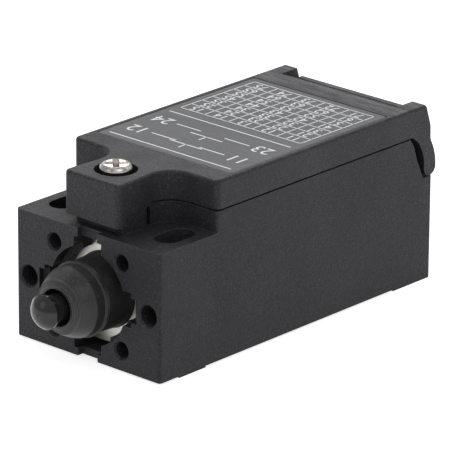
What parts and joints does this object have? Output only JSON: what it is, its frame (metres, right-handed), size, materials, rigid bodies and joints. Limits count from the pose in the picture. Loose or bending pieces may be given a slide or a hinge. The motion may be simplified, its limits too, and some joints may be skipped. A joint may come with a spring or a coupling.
{
  "type": "limit switch",
  "caption": "Plastic-bodied limit switch with a spring plunger in a sealed nose, a hinged cover held by a captive screw, and a contact block behind a conduit entry.",
  "frame": {"origin": "midway between the two mounting holes, on the mounting face", "axes": "+X out of the nose along the plunger, +Z from the mounting face up to the cover, +Y to the side"},
  "size_m": [0.0751, 0.03, 0.0303],
  "materials": {
    "housing": "fine textured matt, charcoal black",
    "cover_shell": "fine textured matt, charcoal black",
    "rating_plate": "semi-gloss printed plate, grey",
    "gasket": "matt nitrile rubber",
    "screw_nickel": "nickel-plated, bright",
    "spring_steel": "drawn spring wire",
    "brass": "plain brass",
    "plunger": "smooth semi-gloss black",
    "boot": "satin rubber, black",
    "bushing": "plain moulded black",
    "nose_plate": "bright rolled plate",
    "block_plastic": "moulded insulating plastic, warm grey",
    "zinc_steel": "zinc-plated",
    "carrier_plastic": "moulded, brick red",
    "contact_copper": "copper alloy strip",
    "contact_silver": "silver alloy"
  },
  "bodies": {
    "box": {"switch_box": "housing", "threaded_insert": "brass", "nose_plate": "nose_plate", "sealing_boot": "boot", "guide_bushing": "bushing", "bushing_retainer": "bushing", "block_base": "block_plastic", "block_lid": "block_plastic", "block_screws": "zinc_steel", "terminal_nc_left": "brass", "terminal_nc_right": "brass", "terminal_no_left": "brass", "terminal_no_right": "brass", "fixed_tips": "contact_silver", "clamp_washers": "zinc_steel", "terminal_screws": "zinc_steel", "plunger_spring": "spring_steel", "return_spring": "spring_steel"},
    "cover": {"cover": "cover_shell", "cover_gasket": "gasket", "rating_plate": "rating_plate", "hinge_pins": "spring_steel"},
    "screw_ring": {"screw_ring": "spring_steel"},
    "cover_screw": {"cover_screw": "screw_nickel"},
    "plunger": {"plunger": "plunger", "contact_carrier": "carrier_plastic"},
    "nc_bridge": {"nc_bridge": "contact_copper", "nc_bridge_tips": "contact_silver", "nc_spring": "spring_steel"},
    "no_bridge": {"no_bridge": "contact_copper", "no_bridge_tips": "contact_silver", "no_spring": "spring_steel"}
  },
  "joints": [
    {"name": "cover_hinge", "type": "hinge", "parent": "box", "child": "cover", "pos_m": [-0.05525, 0, 0.0187], "axis": [0, -1, 0], "range_deg": [0, 100]},
    {"name": "ring_lift", "type": "slide", "parent": "cover", "child": "screw_ring", "axis": [0, 0, 1], "range_m": [0, 0.0033]},
    {"name": "screw_turn", "type": "hinge", "parent": "screw_ring", "child": "cover_screw", "pos_m": [0.0012, 0, 0.022], "axis": [0, 0, 1], "range_deg": [0, 2383]},
    {"name": "plunger_push", "type": "slide", "parent": "box", "child": "plunger", "axis": [-1, 0, 0], "range_m": [0, 0.004], "stiffness_N_per_m": 600, "springref_m": -0.008, "deforming": ["plunger_spring", "return_spring"]},
    {"name": "nc_bridge_slide", "type": "slide", "parent": "box", "child": "nc_bridge", "axis": [-1, 0, 0], "range_m": [0, 0.0033], "deforming": ["nc_spring"]},
    {"name": "no_bridge_slide", "type": "slide", "parent": "box", "child": "no_bridge", "axis": [-1, 0, 0], "range_m": [0, 0.0021], "deforming": ["no_spring"]}
  ],
  "couplings": [
    {"joint": "screw_turn", "follows": "ring_lift", "rad_per_m": 12566},
    {"joint": "nc_bridge_slide", "follows": "plunger_push", "ratio": 0.8},
    {"joint": "no_bridge_slide", "follows": "plunger_push", "ratio": 0.5}
  ]
}
